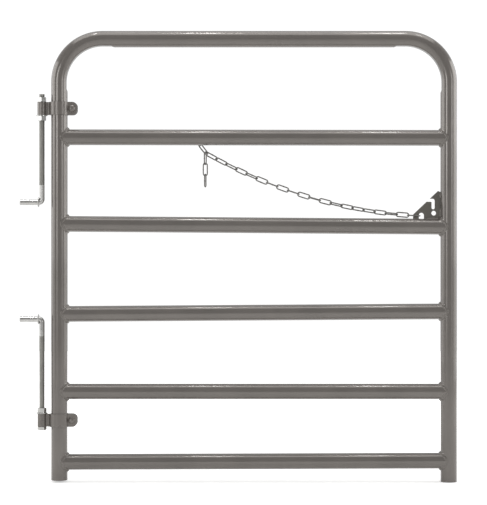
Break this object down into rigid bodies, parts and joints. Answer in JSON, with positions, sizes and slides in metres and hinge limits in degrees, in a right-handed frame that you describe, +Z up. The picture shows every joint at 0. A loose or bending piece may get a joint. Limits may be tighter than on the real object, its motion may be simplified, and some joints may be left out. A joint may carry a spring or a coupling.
{
  "type": "feedlot gate",
  "caption": "Narrow tube-steel livestock gate leaf with rounded top corners, level rails, a latch plate and chain, hung on bent hinge bolts.",
  "frame": {"origin": "on the seat face of the upper hinge bolt's collar, midway between its rod and its rim, above the pin", "axes": "+X from the hinges along the leaf, +Y away from the front, +Z up; the hinge axis is vertical, 11.6 mm towards +X from the seat faces"},
  "size_m": [1.2826, 0.0584, 1.3228],
  "materials": {
    "gate_paint": "warm brown-grey metallic powder coat, glossy, with drawn-out highlights",
    "plate_paint": "darker grey semi-gloss paint on flat steel",
    "chain_steel": "dull grey steel wire, lightly worn",
    "zinc_plate": "zinc plate, satin, greyer on the threads"
  },
  "bodies": {
    "hinge_bolts": {"upper_hinge_bolt": "zinc_plate", "lower_hinge_bolt": "zinc_plate", "upper_top_nut": "zinc_plate", "upper_washer": "zinc_plate", "upper_bottom_nut": "zinc_plate", "lower_top_nut": "zinc_plate", "lower_washer": "zinc_plate", "lower_bottom_nut": "zinc_plate"},
    "gate_leaf": {"frame_tube": "gate_paint", "rail_1": "gate_paint", "rail_2": "gate_paint", "rail_3": "gate_paint", "rail_4": "gate_paint", "rail_5": "gate_paint", "latch_plate": "plate_paint", "chain_staple": "chain_steel", "chain_link_01": "chain_steel", "chain_link_02": "chain_steel", "chain_link_03": "chain_steel", "chain_link_04": "chain_steel", "chain_link_05": "chain_steel", "chain_link_06": "chain_steel", "chain_link_07": "chain_steel", "chain_link_08": "chain_steel", "chain_link_09": "chain_steel", "chain_link_10": "chain_steel", "chain_link_11": "chain_steel", "chain_link_12": "chain_steel", "chain_link_13": "chain_steel", "chain_link_14": "chain_steel", "chain_link_15": "chain_steel", "chain_link_16": "chain_steel", "chain_link_17": "chain_steel", "chain_link_18": "chain_steel", "chain_link_19": "chain_steel", "chain_link_20": "chain_steel", "chain_link_21": "chain_steel", "tail_link_1": "chain_steel", "tail_link_2": "chain_steel", "tail_link_3": "chain_steel", "upper_hinge_strap": "gate_paint", "upper_clamp_bolt": "gate_paint", "upper_clamp_nut": "gate_paint", "lower_hinge_strap": "gate_paint", "lower_clamp_bolt": "gate_paint", "lower_clamp_nut": "gate_paint"}
  },
  "joints": [
    {"name": "gate_swing", "type": "hinge", "parent": "hinge_bolts", "child": "gate_leaf", "pos_m": [0.0116, 0, 0], "axis": [0, 0, 1], "range_deg": [-90, 90]}
  ]
}
